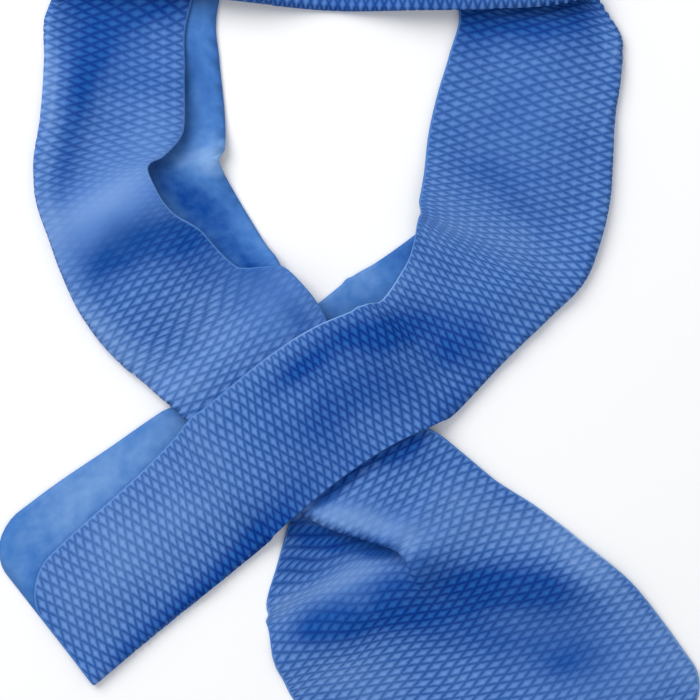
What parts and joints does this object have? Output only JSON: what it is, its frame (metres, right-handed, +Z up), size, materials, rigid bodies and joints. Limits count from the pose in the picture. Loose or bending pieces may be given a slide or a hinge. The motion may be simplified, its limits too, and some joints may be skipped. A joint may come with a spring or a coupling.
{
  "type": "cooling neck wrap",
  "caption": "Strip of embossed sponge cloth folded lengthwise and laid in a neck loop, its tail drawn through a slit in the folded edge.",
  "frame": {"origin": "middle of the laid wrap's bounding box, on the surface it rests on", "axes": "+Z up from the surface, +Y from the tails towards the nape of the loop, +X to the right seen from above"},
  "size_m": [0.2798, 0.4046, 0.013],
  "materials": {
    "sponge_cloth": "damp matte sponge cloth, diamond embossed on its outer face and smooth on its inner face"
  },
  "bodies": {
    "root": {"neck_wrap_band": "sponge_cloth"}
  },
  "joints": []
}
